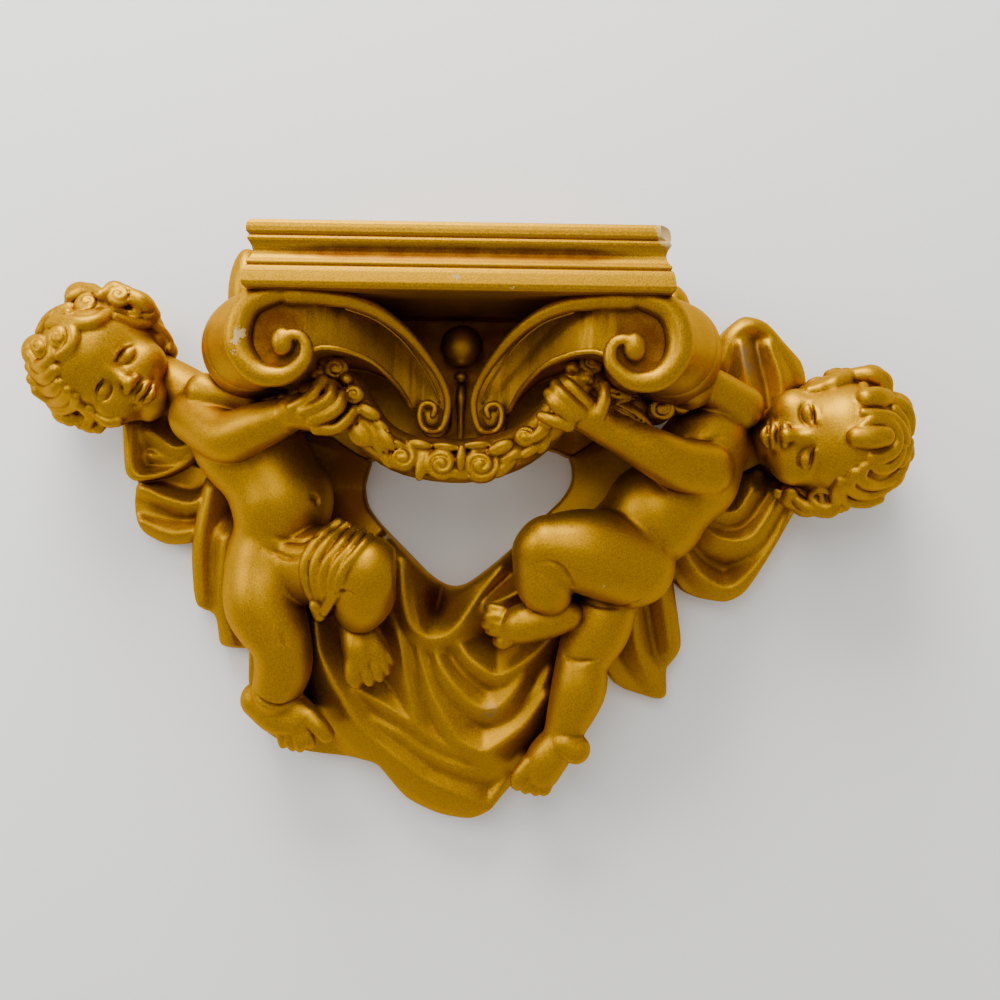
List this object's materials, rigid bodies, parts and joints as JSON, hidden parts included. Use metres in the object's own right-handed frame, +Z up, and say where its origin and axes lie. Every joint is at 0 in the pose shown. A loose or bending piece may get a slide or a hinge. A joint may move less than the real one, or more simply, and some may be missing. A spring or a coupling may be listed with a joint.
{
  "type": "cherub wall shelf",
  "caption": "Gilt plaster wall shelf: a moulded ledge on scroll brackets, carried by cherubs holding a flower garland, with hanging cloth round an open heart-shaped gap",
  "frame": {"origin": "the hanging point: on the flat back, in the middle of the shelf, 44 mm below its top", "axes": "+Z up, +X to the viewer's right along the shelf, +Y into the wall; the back is the plane Y = 0 and the front faces -Y"},
  "size_m": [0.4343, 0.12, 0.285],
  "materials": {
    "gilt_plaster": "satin gold paint with a fine metallic grain over cast plaster, chipped to cream plaster at a few edges"
  },
  "bodies": {
    "root": {"cherub_wall_shelf": "gilt_plaster"}
  },
  "joints": []
}
